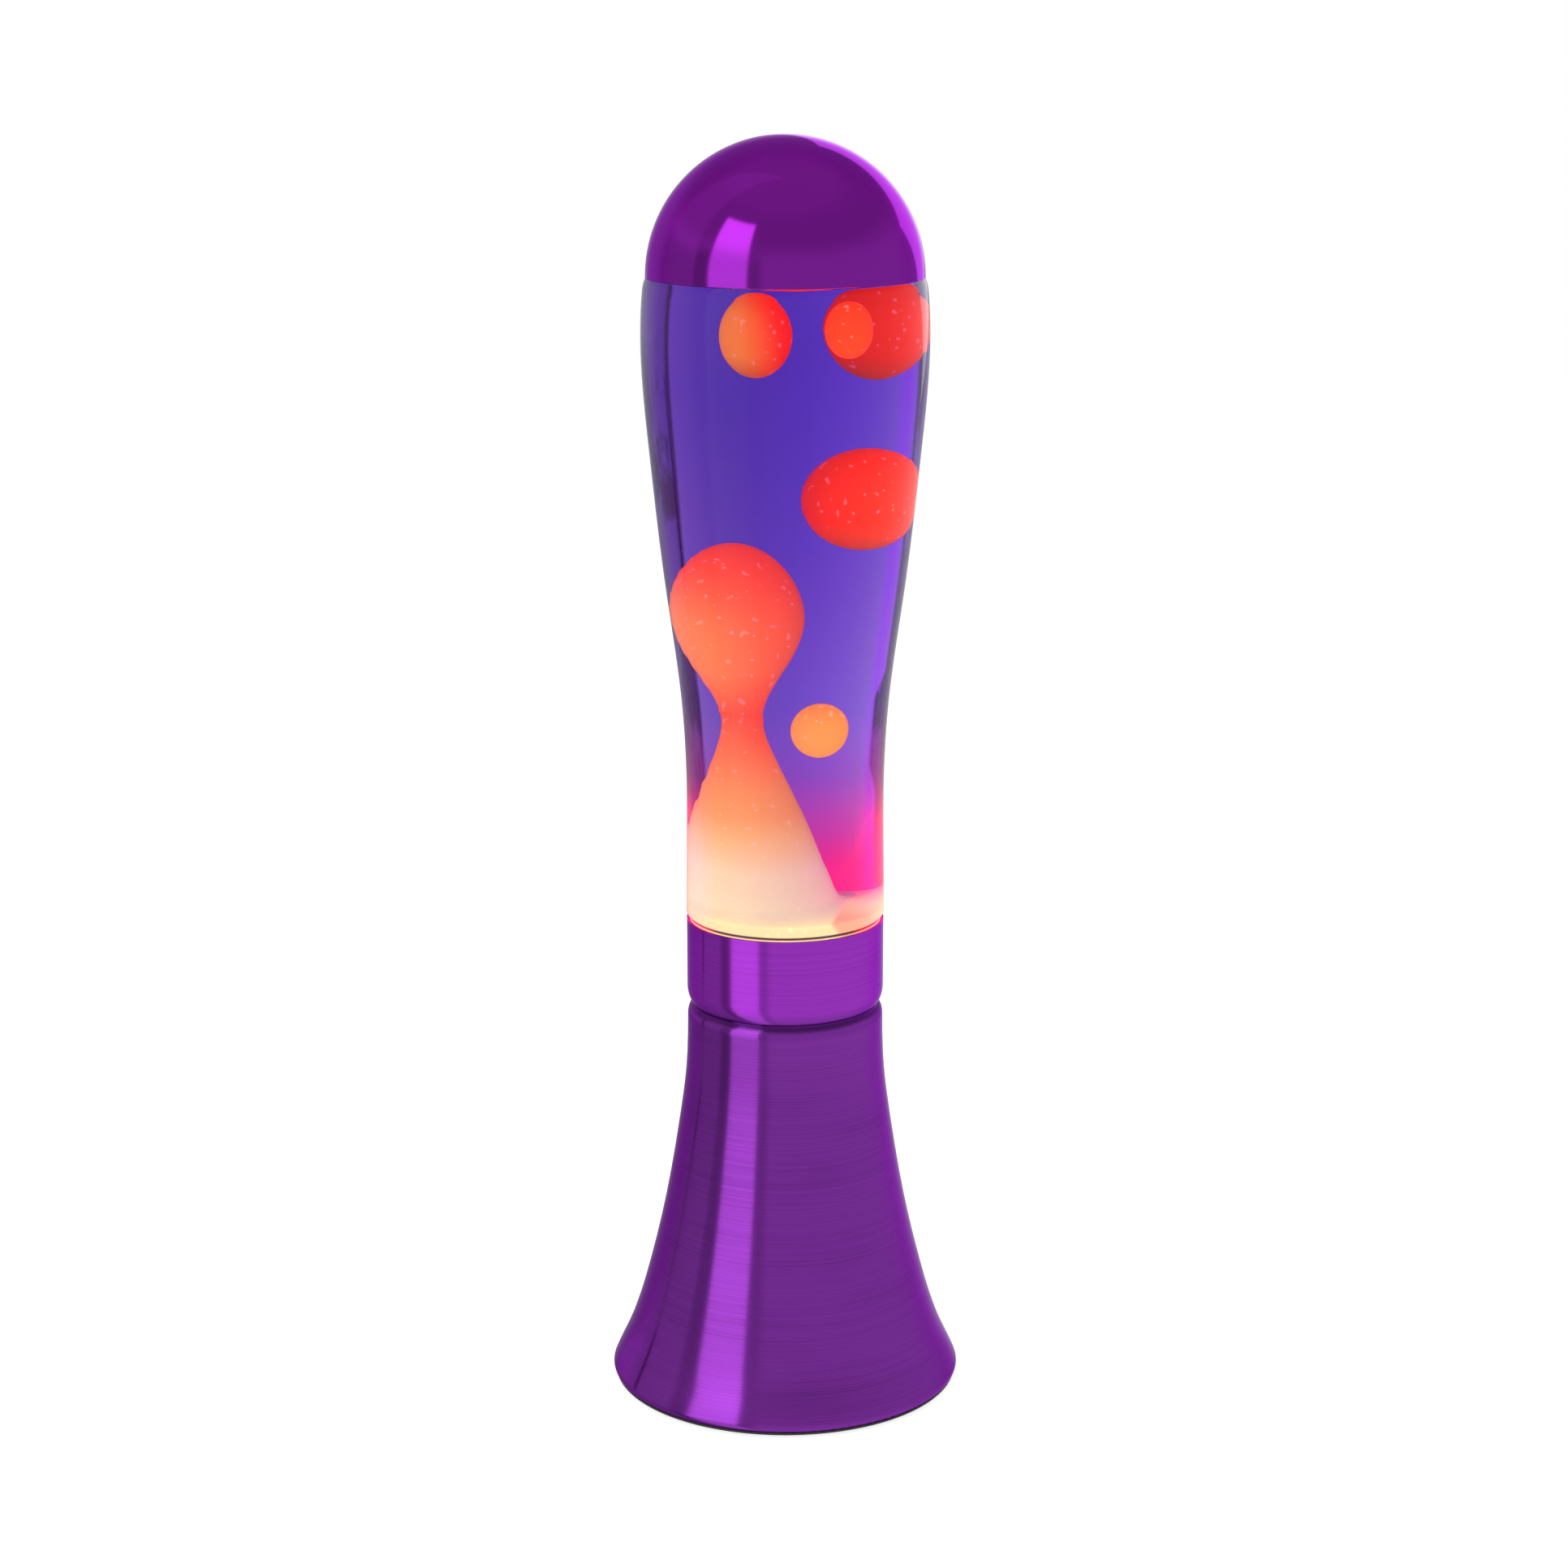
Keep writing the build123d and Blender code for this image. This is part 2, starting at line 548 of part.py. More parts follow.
def cap_liner():
    """Plastic ring glued inside the dome, whose sleeve centres it on the bottle's neck."""
    inner, outer = LINER_SLEEVE_RADIUS, LINER_SLEEVE_RADIUS + LINER_WALL
    fit = DOME_RADIUS - SHEET - 0.05
    web_top = LINER_WEB_Z + LINER_WALL
    web = ring(inner, fit, LINER_WEB_Z, web_top) + ring(inner, outer, LINER_SLEEVE_LOW_Z, LINER_SLEEVE_HIGH_Z)
    rib = Pos(RIB_MIDDLE, 0, web_top + RIB_HEIGHT / 2) * Box(RIB_LENGTH, 1.2, RIB_HEIGHT)
    liner = web + around(LINER_RIBS, rib)
    return liner & Pos(0, 0, DOME_RIM_Z) * Sphere(fit)


def write(name, shape):
    solids = shape if isinstance(shape, list) else [shape]
    solids = [s for piece in solids for s in piece.solids()]
    body = solids[0] if len(solids) == 1 else Compound(children=solids)
    body.label = name
    export_step(body, f"parts/{name}.step")


def main():
    os.makedirs("parts", exist_ok=True)
    blobs = {name: blob(*numbers) for name, numbers in BLOBS.items()}
    top_wax = blob(*TOP_WAX)
    column = wax_column()
    parts = {
        "base_shell": base_shell(),
        "cable_grommet": cable_grommet(),
        "base_plate": base_plate(),
        "base_plate_screws": base_plate_screws(),
        "skirt_lugs": skirt_lugs(),
        "rubber_feet": rubber_feet(),
        "holder_bracket": holder_bracket(),
        "holder_bracket_screws": holder_bracket_screws(),
        "holder_nipple": holder_nipple(),
        "holder_nut": holder_nut(),
        "holder_body": holder_body(),
        "holder_terminal_screws": holder_terminal_screws(),
        "holder_thread_shell": holder_thread_shell(),
        "holder_centre_contact": holder_centre_contact(),
        "bulb_glass": bulb_glass(),
        "bulb_cap": bulb_cap(),
        "bulb_insulator": bulb_insulator(),
        "bulb_contact": bulb_contact(),
        "bulb_stem": bulb_stem(),
        "bulb_lead_wires": bulb_lead_wires(),
        "bulb_filament": bulb_filament(),
        "glass_bottle": glass_bottle(),
        "liquid": liquid([column, top_wax] + list(blobs.values())),
        "wax_column": column,
        "wax_top": top_wax,
        "heat_ring": heat_ring(),
        "crown_cap": crown_cap(),
        "crown_seal": crown_seal(),
        "dome_cap": dome_cap(),
        "cap_liner": cap_liner(),
        **blobs,
    }
    for name, shape in parts.items():
        write(name, shape)


main()
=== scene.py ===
import math

import bpy
import numpy as np
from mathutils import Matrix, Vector


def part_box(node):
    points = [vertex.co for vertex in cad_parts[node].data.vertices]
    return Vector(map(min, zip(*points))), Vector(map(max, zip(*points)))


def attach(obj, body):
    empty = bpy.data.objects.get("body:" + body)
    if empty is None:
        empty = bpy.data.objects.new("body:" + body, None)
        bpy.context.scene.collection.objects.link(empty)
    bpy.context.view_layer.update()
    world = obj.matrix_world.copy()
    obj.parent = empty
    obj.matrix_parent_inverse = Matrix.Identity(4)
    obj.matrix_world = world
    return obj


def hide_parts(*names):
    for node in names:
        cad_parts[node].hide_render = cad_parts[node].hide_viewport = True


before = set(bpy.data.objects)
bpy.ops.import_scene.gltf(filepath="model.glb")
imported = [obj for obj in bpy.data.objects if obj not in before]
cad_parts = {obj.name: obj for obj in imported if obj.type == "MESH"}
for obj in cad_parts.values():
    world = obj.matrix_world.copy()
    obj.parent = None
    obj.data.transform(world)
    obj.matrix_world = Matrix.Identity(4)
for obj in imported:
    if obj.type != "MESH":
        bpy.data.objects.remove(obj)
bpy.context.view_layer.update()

# Motion lamp. +Z is up the lamp's axis, -Y is the front. Lengths are in metres, but outlines, which are
# points of (radius, height), are in millimetres until they are turned.
MM = 0.001
AROUND = 288  # points round the axis on a turned piece

# ---- sizes read from the frame ----
DOME_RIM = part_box("dome_cap")[0][2]
DOME_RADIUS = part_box("dome_cap")[1][0]
COLLAR_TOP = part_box("base_shell")[1][2]
FLOOR_OF_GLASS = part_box("wax_column")[0][2]
LIQUID_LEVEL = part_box("liquid")[1][2]
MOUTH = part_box("glass_bottle")[1][2]
BOTTLE_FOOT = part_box("glass_bottle")[0][2]

# ---- other sizes ----
POOL_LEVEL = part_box("liquid")[0][2] - 4.2 * MM  # the wax pool is drawn a little lower than the CAD solid's
GROOVE = 133.0 * MM
WALL = 3.2 * MM
CONTACT = 0.05 * MM  # wax reaches this far into the glass, so no gap shows between them
OVERLAP = 0.15 * MM  # and the liquid this far, so light passes from glass to liquid with no gap

# The bottle's outline in millimetres. Its side runs from above the collar to the shoulder.
BOTTLE_SIDE = [(33.1, 168), (32.75, 200), (34.3, 237), (39.3, 275), (44.1, 318), (46.6, 350), (45.95, 371)]
FOOT_RADIUS = 32.0
SEAT = 163.2  # the foot, which stands in the collar, widens to the side from this height
LEDGE = (44.9, 374.9)  # outer edge of the shoulder, under the dome
LEDGE_END = (42.6, 374.95)
UNDER_LEDGE = (41.2, 373.9)  # the glass is thin here
UNDER_SHOULDER = (27, 377.4)
NECK_RADIUS, NECK_FOOT, NECK_TOP = 12.4, 391, 399
LIP_RADIUS, LIP_EDGE = 13.3, 404.2
BORE_RADIUS, BORE_FOOT = 9.3, 388


# ---- outlines, as arrays of (radius, height) ----
def unit(vector):
    vector = np.array(vector, float)
    return vector / np.linalg.norm(vector)


def straight(start, end, steps=1):
    """Points on a straight line, at equal parts t of it: start + t (end - start)."""
    t = np.linspace(0, 1, steps + 1)[:, None]
    return np.array(start) + t * (np.array(end) - np.array(start))


def bend(start, heading, end, steps=10):
    """Points on the arc that leaves start along heading and ends at end. Its radius is
    chord^2 / (2 chord . normal)."""
    start, end, heading = np.array(start, float), np.array(end, float), unit(heading)
    normal = np.array([-heading[1], heading[0]])
    chord = end - start
    radius = chord @ chord / (2 * chord @ normal)
    turn = 2 * math.atan2(chord @ normal, chord @ heading)
    angle = np.linspace(0, turn, steps + 1)[:, None]
    return start + radius * (np.sin(angle) * heading + (1 - np.cos(angle)) * normal)


def smooth(points, start, end, steps=12):
    """Points on a clamped cubic spline: a cubic in the chord's length between knots, whose slopes m at the
    knots solve the equations that make the curvature continuous."""
    p = np.array(points, float)
    h = np.linalg.norm(np.diff(p, axis=0), axis=1)
    system, right = np.eye(len(p)), np.zeros_like(p)
    right[0], right[-1] = unit(start), unit(end)
    for i in range(1, len(p) - 1):
        system[i, i - 1 : i + 2] = h[i], 2 * (h[i - 1] + h[i]), h[i - 1]
        right[i] = 3 * (h[i - 1] / h[i] * (p[i + 1] - p[i]) + h[i] / h[i - 1] * (p[i] - p[i - 1]))
    m = np.linalg.solve(system, right)
    t = np.linspace(0, 1, steps + 1)[None, :-1, None]
    a, b, ma, mb, w = p[:-1, None], p[1:, None], m[:-1, None], m[1:, None], h[:, None, None]
    spans = (2 * t**3 - 3 * t**2 + 1) * a + (3 * t**2 - 2 * t**3) * b
    spans = spans + w * ((t**3 - 2 * t**2 + t) * ma + (t**3 - t**2) * mb)
    return np.vstack([spans.reshape(-1, 2), p[-1:]])


def join(*stretches):
    """Stretches laid end to end, without the points that repeat."""
    outline = np.vstack(stretches)
    keep = np.append(True, np.linalg.norm(np.diff(outline, axis=0), axis=1) > 1e-9)
    return outline[keep]


# ---- meshes ----
def placed(name, data):
    """A new object in the scene, at the origin."""
    made = bpy.data.objects.new(name, data)
    bpy.context.scene.collection.objects.link(made)
    return made


def skin(name, rows, body, replaced, crease):
    """A closed mesh over rows[i, j] = (x, y, z): i goes up the outside, j goes round. The first and the last
    row are the two poles, whose points coincide, so each is one vertex. Four-sided faces join row i to row
    i + 1. Edges sharper than crease degrees stay sharp."""
    count, turns = rows.shape[:2]
    ring = np.arange(turns)
    after = (ring + 1) % turns
    low = 1 + turns * np.arange(count - 3)[:, None]
    quads = np.stack([low + ring, low + after, low + turns + after, low + turns + ring], axis=-1)
    quads = quads.reshape(-1, 4)
    top = 1 + turns * (count - 3)
    last = 1 + turns * (count - 2)
    fans = np.vstack([
        np.stack([np.zeros_like(ring), 1 + after, 1 + ring], axis=-1),
        np.stack([np.full_like(ring, last), top + ring, top + after], axis=-1),
    ])
    points = np.vstack([rows[0, :1], rows[1:-1].reshape(-1, 3), rows[-1, :1]])
    corners = np.concatenate([quads.ravel(), fans.ravel()]).astype(np.int32)
    starts = np.concatenate([4 * np.arange(len(quads)), 4 * len(quads) + 3 * np.arange(len(fans))])
    mesh = bpy.data.meshes.new(name)
    mesh.vertices.add(len(points))
    mesh.vertices.foreach_set("co", points.astype(np.float32).ravel())
    mesh.loops.add(len(corners))
    mesh.loops.foreach_set("vertex_index", corners)
    mesh.polygons.add(len(starts))
    mesh.polygons.foreach_set("loop_start", starts.astype(np.int32))
    mesh.update(calc_edges=True)
    mesh.shade_smooth()
    mesh.set_sharp_from_angle(angle=math.radians(crease))
    piece = placed(name, mesh)
    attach(piece, body)
    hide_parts(*replaced)
    return piece


def turned(outline):
    """Rows of a solid of revolution: the outline's (r, z) at angle a lies at (r cos a, r sin a, z)."""
    angle = np.linspace(0, 2 * math.pi, AROUND, endpoint=False)
    r, z = outline[:, :1], outline[:, 1:]
    return np.stack([r * np.cos(angle), r * np.sin(angle), z + 0 * angle], axis=-1)


def waved(rows, low, high, depth, seed):
    """Rows whose radius is changed by depth times a sum of waves round the axis, which drift slowly with
    height, between the two heights: the long vertical ripples of moulded glass."""
    rng = np.random.default_rng(seed)
    x, y, z = rows[..., 0], rows[..., 1], rows[..., 2]
    angle = np.arctan2(y, x)
    fading = 8 * MM
    fade = np.clip((z - low) / fading, 0, 1) * np.clip((high - z) / fading, 0, 1)
    change = 0 * z
    for waves in (5, 9, 14, 22, 31, 43):
        phase, drift = rng.uniform(0, 2 * math.pi), rng.uniform(-6, 6)
        change += np.sin(waves * angle + phase + drift * z / 0.1) / waves**0.5
    scale = 1 + fade * depth * change / np.maximum(np.hypot(x, y), MM)
    return np.stack([x * scale, y * scale, z], axis=-1)


def pimpled(rows, count, height, width, seed, low, high):
    """Rows pushed out, along the direction from their own centre, by small round swellings of
    height exp(-(distance / width)^2) at points drawn from the rows between two heights. Each third is a
    dent instead."""
    rng = np.random.default_rng(seed)
    flat = rows.reshape(-1, 3)
    able = np.flatnonzero((flat[:, 2] > low) & (flat[:, 2] < high))
    centres = flat[rng.choice(able, count)]
    outward = rows - rows.mean(axis=1, keepdims=True)
    outward = outward / np.maximum(np.linalg.norm(outward, axis=-1, keepdims=True), 1e-6)
    push = np.zeros(rows.shape[:2])
    for n, centre in enumerate(centres):
        size = width * rng.uniform(0.6, 1.5)
        sign = -1 if n % 3 == 0 else 1
        push += sign * height * np.exp(-np.sum((rows - centre) ** 2, axis=-1) / size**2)
    push[[0, -1]] = 0
    return rows + push[..., None] * outward


# ---- node expressions ----
def opaque(colour):
    """A colour (red, green, blue) with its alpha of 1; a wire stays as it is."""
    return colour if isinstance(colour, Wire) else (*colour, 1)


class Wire:
    """An output socket. Sums, differences, products and quotients of wires and numbers add Math nodes."""

    def __init__(self, tree, socket=None):
        self.tree = tree
        self.socket = socket

    def node(self, kind, settings=None, sockets=None, output=0):
        """A new node of this kind: its settings first, such as a ramp's stops of (value, colour), then its
        sockets' values or links. Gives the wire of that output."""
        made = self.tree.nodes.new(kind)
        for key, value in (settings or {}).items():
            if key == "stops":
                elements = made.color_ramp.elements
                while len(elements) < len(value):
                    elements.new(0.5)
                for element, (position, colour) in zip(elements, value):
                    element.position = position
                    element.color = opaque(colour)
            else:
                setattr(made, key, value)
        for key, value in (sockets or {}).items():
            if isinstance(value, Wire):
                self.tree.links.new(value.socket, made.inputs[key])
            else:
                made.inputs[key].default_value = value
        return Wire(self.tree, made.outputs[output])

    def outputs(self, *names):
        """The wires of other outputs of this wire's own node."""
        return [Wire(self.tree, self.socket.node.outputs[name]) for name in names]

    def maths(self, operation, *values):
        """A Math node on these values, which are this wire alone if none are given."""
        return self.node("ShaderNodeMath", {"operation": operation}, dict(enumerate(values or (self,))))

    def __add__(self, other):
        return self.maths("ADD", self, other)

    __radd__ = __add__

    def __sub__(self, other):
        return self.maths("SUBTRACT", self, other)

    def __rsub__(self, other):
        return self.maths("SUBTRACT", other, self)

    def __mul__(self, other):
        return self.maths("MULTIPLY", self, other)

    __rmul__ = __mul__

    def __truediv__(self, other):
        return self.maths("DIVIDE", self, other)

    def between(self, low, high):
        """0 below low, 1 above high, smooth in between; low may be the larger."""
        limits = {0: self, 1: low, 2: high, 3: 0.0, 4: 1.0}
        return self.node("ShaderNodeMapRange", {"interpolation_type": "SMOOTHSTEP"}, limits)

    def band(self, start, full, fading, end):
        """1 from full to fading, 0 before start and after end, smooth in between."""
        return self.between(start, full) * self.between(end, fading)

    def blend(self, first, second):
        """The colour first where this wire is 0 and second where it is 1."""
        colours = {0: self, 6: opaque(first), 7: opaque(second)}
        return self.node("ShaderNodeMix", {"data_type": "RGBA"}, colours, output=2)

    def ramp(self, stops):
        """The colour at this wire's value, along stops of (value, colour)."""
        return self.node("ShaderNodeValToRGB", {"stops": stops}, {0: self})


def parts(vector):
    """The x, y and z of a vector's wire."""
    return vector.node("ShaderNodeSeparateXYZ", None, {0: vector}).outputs("X", "Y", "Z")


def noise(vector, scale, detail, roughness):
    sockets = {"Vector": vector, "Scale": scale, "Detail": detail, "Roughness": roughness}
    return vector.node("ShaderNodeTexNoise", None, sockets)


def streaks(place, scales, detail, roughness):
    """Noise with its own scale along x, y and z, so its marks are longest where the scale is least."""
    stretched = place.node("ShaderNodeVectorMath", {"operation": "MULTIPLY"}, {0: place, 1: scales})
    return noise(stretched, 1.0, detail, roughness)


def rings(distance, lines_per_metre, detail):
    """Noise that changes with one distance only, so it draws even rings on a turned piece."""
    sockets = {"W": distance * lines_per_metre, "Scale": 1.0, "Detail": detail, "Roughness": 0.65}
    return distance.node("ShaderNodeTexNoise", {"noise_dimensions": "1D"}, sockets)


def bumped(height, strength, distance):
    sockets = {"Strength": strength, "Distance": distance, "Height": height}
    return height.node("ShaderNodeBump", None, sockets)


def material(name, paint=None, **plain):
    """A Principled material. plain holds the sockets that are the same all over; paint(place) gives the
    wires of those that vary, from the point's place in the piece's own coordinates."""
    made = bpy.data.materials.new(name)
    made.use_nodes = True
    tree = made.node_tree
    shader = tree.nodes["Principled BSDF"]
    for key, value in plain.items():
        shader.inputs[key.replace("_", " ")].default_value = opaque(value) if type(value) is tuple else value
    if paint:
        place = Wire(tree).node("ShaderNodeTexCoord", output="Object")
        for key, wire in paint(place).items():
            tree.links.new(wire.socket, shader.inputs[key])
    return made


# ---- finishes ----
SKIRT_DYE = (0.335, 0.044, 0.56)
# Painted reflection: the collar's colour is brighter than the skirt's, for the pale floor it reflects.
COLLAR_DYE_WITH_PAINTED_REFLECTION = (0.54, 0.050, 0.88)
# Painted shade for the groove's hollow.
GROOVE_PAINTED_SHADE = (0.07, 0.004, 0.13)
RIM_DYE = (0.32, 0.018, 0.50)
CROWN_DYE = (0.35, 0.012, 0.52)
BRUSHED_SHADE = (0.12, 0.006, 0.20)
EDGE_DYE = (0.75, 0.30, 0.95)  # what the metal reflects where it turns away


def lacquered_purple(name, along, tints, polish, brushing, lacquer):
    """Purple lacquered metal. along(z) is the distance along the spun outline, on which the turning rings
    are drawn; tints(z) is its colour, polish the roughness between rings, brushing how strong they are and
    lacquer the weight of the clear coat."""

    def paint(place):
        x, y, z = parts(place)
        distance = along(z)
        fine = rings(distance, 2400, 4.0)
        broad = rings(distance, 420, 3.0)
        strokes = streaks(place, (14, 14, 2600), 2.0, 0.6)
        patch = streaks(place, (22, 22, 60), 2.0, 0.5).between(0.42, 0.75)
        tone = fine * 0.55 + broad * 0.20 + strokes * 0.25
        dark = tone.between(0.62, 0.36) * (0.50 + 0.50 * patch) * (0.75 * brushing)
        return {
            "Base Color": (dark * 0.55).blend(tints(z), BRUSHED_SHADE),
            "Roughness": polish + dark * 0.20,
            "Normal": bumped(fine, 0.05 * brushing, 0.01 * MM),
        }

    return material(
        name, paint, Metallic=1.0, Anisotropic=0.8 * brushing, Anisotropic_Rotation=0.25,
        Specular_Tint=EDGE_DYE, Coat_Weight=lacquer, Coat_Roughness=0.05, Coat_IOR=1.5,
    )


def base_tints(z):
    """The collar is coloured brighter than the skirt, a painted reflection of the pale floor, and the groove
    between them is darkened with painted shade.
    """
    colour = z.between(GROOVE, GROOVE + 6 * MM).blend(SKIRT_DYE, COLLAR_DYE_WITH_PAINTED_REFLECTION)
    # Painted shade in the groove's hollow, between skirt and collar.
    painted_groove_shade = z.band(GROOVE - 2.2 * MM, GROOVE - 1.0 * MM, GROOVE + 0.1 * MM, GROOVE + 0.9 * MM)
    return (painted_groove_shade * 0.75).blend(colour, GROOVE_PAINTED_SHADE)


def dome_tints(z):
    """The dye deepens a little over the dome's lowest part."""
    return z.between(DOME_RIM, DOME_RIM + 26 * MM).blend(RIM_DYE, CROWN_DYE)


def up_the_lamp(z):
    return z


def over_the_dome(z):
    """Arc length from the dome's top: the radius times the angle whose cosine is height over radius."""
    return ((z - DOME_RIM) / DOME_RADIUS).maths("ARCCOSINE") * DOME_RADIUS


def clear_glass(name):
    """Clear glass whose rear half is painted dark at its edges, streaked along its height: painted shade at
    the edges of the thick moulded glass, with a painted shadow line where the bottle sits in the collar."""

    def paint(place):
        x, y, z = parts(place)
        haze = streaks(place, (60, 60, 9), 4.0, 0.6)
        streak = streaks(place, (260, 260, 9), 4.0, 0.62).between(0.44, 0.52)
        turned_away = place.node("ShaderNodeLayerWeight", None, {"Blend": 0.5}, "Facing")
        leaving = place.node("ShaderNodeNewGeometry", output="Backfacing")
        # The painted edge shade is narrower on the right, but for a stretch above the waist.
        wide = z.band(200 * MM, 212 * MM, 234 * MM, 246 * MM)
        depth = turned_away - x.between(-20 * MM, 20 * MM) * (0.055 - 0.04 * wide)
        # Painted shade: the rear half's edges, where the glass turns away and the ray leaves it, take the
        # dark streaked colour.
        painted_dark_edge = depth.between(0.150, 0.162) * leaving * y.between(-1.5 * MM, 2.5 * MM)
        # A painted dark line inside the edge shade, in the bottle's upper part.
        line = depth.band(0.150, 0.156, 0.166, 0.176) * z.between(236 * MM, 250 * MM)
        # Painted shadow: a dark line on the glass where it sits in the collar.
        seat_shadow_line = z.band(162.4 * MM, 163.0 * MM, 163.4 * MM, 164.0 * MM)
        # The painted edge shade's colour: violet above, red-brown lower down.
        edge_shade_colour = z.between(262 * MM, 205 * MM).blend((0.27, 0.15, 0.42), (0.26, 0.05, 0.09))
        dark = streak.maths("MAXIMUM", streak, line).blend(edge_shade_colour, (0.004, 0.002, 0.006))
        glass = painted_dark_edge.blend((0.98, 0.98, 1.0), dark)
        return {
            "Base Color": seat_shadow_line.blend(glass, (0.02, 0.004, 0.03)),
            "Normal": bumped(haze, 0.05, 0.4 * MM),
        }

    return material(
        name, paint, Transmission_Weight=1.0, IOR=1.5, Roughness=0.0, Specular_IOR_Level=0.16,
        Specular_Tint=(0.22, 0.22, 0.25),
    )


# The liquid's painted glow, by its rise above the pool: light from the hot wax, painted as emission.
GLOW_BY_RISE = [
    (0.0, (0.95, 0.0, 0.020)), (0.30, (0.42, 0.0, 0.032)), (0.62, (0.10, 0.0, 0.026)),
    (1.0, (0.02, 0.0, 0.015)),
]


def violet_liquid(name):
    """Clear violet liquid. Its rear side and its flanks carry painted light from the hot wax, as emission,
    strongest at the pool, and its rear near the pool is also coloured red by it."""

    def paint(place):
        x, y, z = parts(place)
        drift = streaks(place, (25, 25, 12), 2.0, 0.5)
        rise = (z + (drift - 0.5) * 14 * MM - POOL_LEVEL) / (64 * MM)
        rear = y.between(2 * MM, 14 * MM)
        flank = x.maths("ABSOLUTE").between(21 * MM, 29 * MM)
        # Where the painted glow lies: the rear side, and the flanks low down near the pool.
        painted_glow_mask = rear.maths("MAXIMUM", rear, flank * rise.between(0.75, 0.2))
        return {
            # Painted light from the wax: the rear near the pool turns red, the glow is emitted where the
            # mask above marks it, and a faint violet glow elsewhere.
            "Base Color": (rear * rise.between(1.0, 0.1)).blend((0.97, 0.96, 1), (1, 0.03, 0.10)),
            "Emission Color": painted_glow_mask.blend((0.0002, 0.0, 0.0008), rise.ramp(GLOW_BY_RISE)),
        }

    made = material(
        name, paint, Transmission_Weight=1.0, IOR=1.36, Roughness=0.0, Specular_IOR_Level=0.0,
        Specular_Tint=(0, 0, 0), Emission_Strength=5.0,
    )
    tree = made.node_tree
    absorb = tree.nodes.new("ShaderNodeVolumeAbsorption")
    absorb.inputs["Color"].default_value = (0.44, 0.18, 0.82, 1)
    absorb.inputs["Density"].default_value = 50.0
    tree.links.new(absorb.outputs[0], tree.nodes["Material Output"].inputs["Volume"])
    return made


def glowing_wax(name, stops, low, high, lean, side, share, turns_from=0.0, strength=2.2, shore=None):
    """Wax whose light from the bulb below is painted on as a glow: stops is its glow from height low to
    high, turned by share towards the colour side, painted shade, on the flank that faces lean, away from the
    window, above the height turns_from. shore is the painted glow of the pool beside the column, if it has
    one. Trapped bubbles show as small paler spots."""

    def paint(place):
        x, y, z = parts(place)
        cloud = streaks(place, (45, 45, 30), 3.0, 0.55)
        grain = noise(place, 900.0, 2.0, 0.5)
        # The glow is painted light: it stands in for the bulb's light coming up through the wax.
        glow = ((z + (cloud - 0.5) * 5 * MM - low) / (high - low)).ramp(stops)
        normal = place.outputs("Normal")[0]
        dot = {"operation": "DOT_PRODUCT"}
        # Painted shade: the flank facing lean, away from the window, turns to the colour side.
        toward = place.node("ShaderNodeVectorMath", dot, {0: normal, 1: lean}, output="Value")
        turned_share = toward.between(-0.8, 0.8) * z.between(turns_from, turns_from + 30 * MM) * share
        glow = turned_share.blend(glow, side)
        bubbles = noise(place, 420.0, 1.0, 0.5).between(0.665, 0.71) * 0.20
        glow = bubbles.blend(glow, (1.0, 0.62, 0.34))
        # The pool beside the column has its own painted glow: the shore colour at the front and cream
        # behind.
        if shore:
            under = z.maths("MAXIMUM", POOL_LEVEL - z, 0.0)
            beyond = (x - under * 0.85).between(13.5 * MM, 15.5 * MM) * z.between(178 * MM, 174 * MM)
            glow = beyond.blend(glow, y.between(-20 * MM, 10 * MM).blend(shore, (1.0, 0.62, 0.22)))
        return {
            "Base Color": cloud.blend((0.42, 0.07, 0.03), (0.55, 0.12, 0.06)),
            "Emission Color": glow,
            "Roughness": 0.40 + grain * 0.15,
            "Normal": bumped(grain * 0.3 + cloud, 0.10, 0.2 * MM),
        }

    return material(
        name, paint, Emission_Strength=strength, Specular_IOR_Level=0.1, Sheen_Weight=0.5,
        Sheen_Tint=(1, 0.0, 0.30), Sheen_Roughness=0.3,
    )


def moulded(name, tint, worn, rough, grain, **plain):
    """Moulded plastic or rubber: a fine pebbled grain, faint cloudiness, and lighter rubbed patches."""

    def paint(place):
        pebble = noise(place, grain, 2.0, 0.5)
        cloud = noise(place, 70.0, 4.0, 0.6)
        rubbed = noise(place, 260.0, 3.0, 0.6).between(0.56, 0.75) * cloud.between(0.45, 0.65)
        return {
            "Base Color": (rubbed * 0.6 + cloud * 0.25).blend(tint, worn),
            "Roughness": rough + (pebble - 0.5) * 0.22 - rubbed * 0.08,
            "Normal": bumped(pebble + cloud * 0.5, 0.22, 0.12 * MM),
        }

    return material(name, paint, **plain)


def plated(name, tint, dull, rough, line=900):
    """Plated or bare metal: fine drawn lines, patches dulled by handling, and small darker pits."""

    def paint(place):
        drawn = streaks(place, (60, 60, line), 3.0, 0.6)
        patch = noise(place, 160.0, 4.0, 0.6).between(0.42, 0.70)
        pits = noise(place, 1300.0, 2.0, 0.5).between(0.64, 0.74)
        return {
            "Base Color": (patch * 0.6 + pits * 0.4).blend(tint, dull),
            "Roughness": rough + patch * 0.16 + (drawn - 0.5) * 0.15,
            "Normal": bumped(drawn + patch * 0.4 - pits * 0.4, 0.14, 0.05 * MM),
        }

    return material(name, paint, Metallic=1.0)


